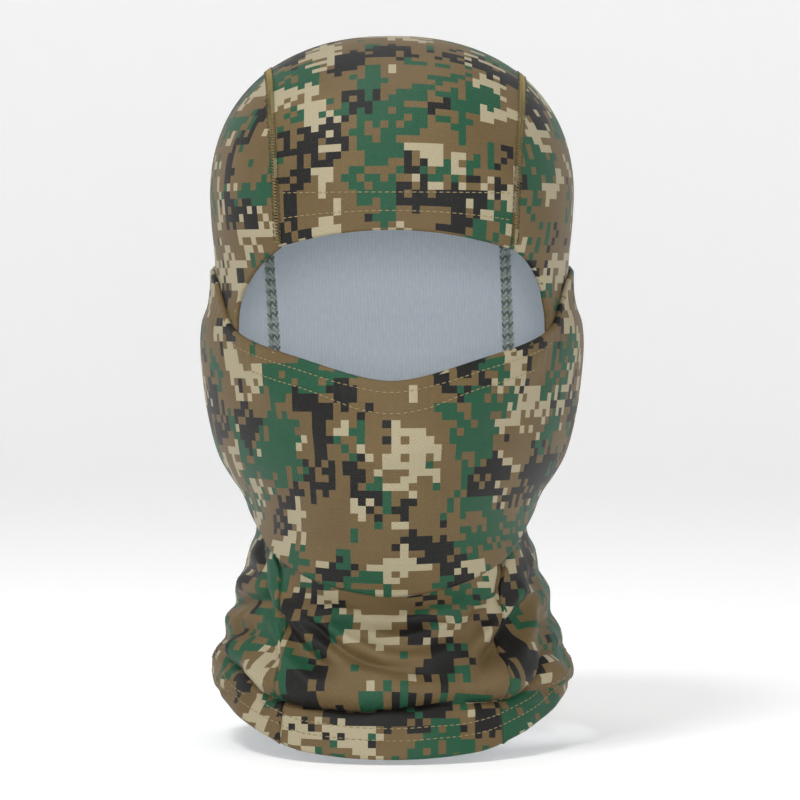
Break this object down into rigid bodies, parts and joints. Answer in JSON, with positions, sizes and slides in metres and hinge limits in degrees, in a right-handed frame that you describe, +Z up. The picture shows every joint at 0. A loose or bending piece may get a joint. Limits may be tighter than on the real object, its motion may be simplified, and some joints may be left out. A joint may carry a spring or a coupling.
{
  "type": "camo face mask",
  "caption": "Knitted camouflage balaclava with a crown strip, side panels, a neck tube, an open eye band and a face cover that pulls down from nose to chin.",
  "frame": {"origin": "middle of the wearer's head, between the ears, where the hood is held up", "axes": "+Z up, the face looks toward -Y, +X is to the right of a viewer who faces the mask"},
  "size_m": [0.1778, 0.2085, 0.3194],
  "materials": {
    "camo_knit": "printed polyester knit, four-colour square-cell camouflage, slight sheen",
    "lining_knit": "unprinted pale grey back of the knit, fine vertical ribs",
    "seam_thread": "tan and olive looped polyester thread",
    "stitch_thread": "brown coverstitch thread",
    "inner_thread": "grey-green chained thread",
    "elastic": "matte woven elastic"
  },
  "bodies": {
    "hood": {"crown_panel": "camo_knit", "left_side_panel": "camo_knit", "right_side_panel": "camo_knit", "neck_front_panel": "camo_knit", "face_cover_lower": "camo_knit", "brow_hem": "lining_knit", "left_opening_hem": "lining_knit", "right_opening_hem": "lining_knit", "bottom_hem": "lining_knit", "left_crown_seam": "seam_thread", "left_crown_chain": "inner_thread", "right_crown_seam": "seam_thread", "right_crown_chain": "inner_thread", "brow_stitch_lower": "stitch_thread", "brow_stitch_upper": "stitch_thread", "hem_stitch_lower": "stitch_thread", "hem_stitch_upper": "stitch_thread", "chin_seam_thread": "inner_thread", "left_neck_seam_thread": "inner_thread", "left_ear_seam_thread": "stitch_thread", "right_neck_seam_thread": "inner_thread", "right_ear_seam_thread": "stitch_thread"},
    "face_cover": {"face_cover_upper": "camo_knit", "face_cover_elastic": "elastic", "face_cover_hem": "lining_knit", "cover_stitch_upper": "stitch_thread", "cover_stitch_lower": "stitch_thread"}
  },
  "joints": [
    {"name": "face_cover_pull", "type": "hinge", "parent": "hood", "child": "face_cover", "pos_m": [0, -0.01, -0.06], "axis": [1, 0, 0], "range_deg": [0, 45]}
  ]
}
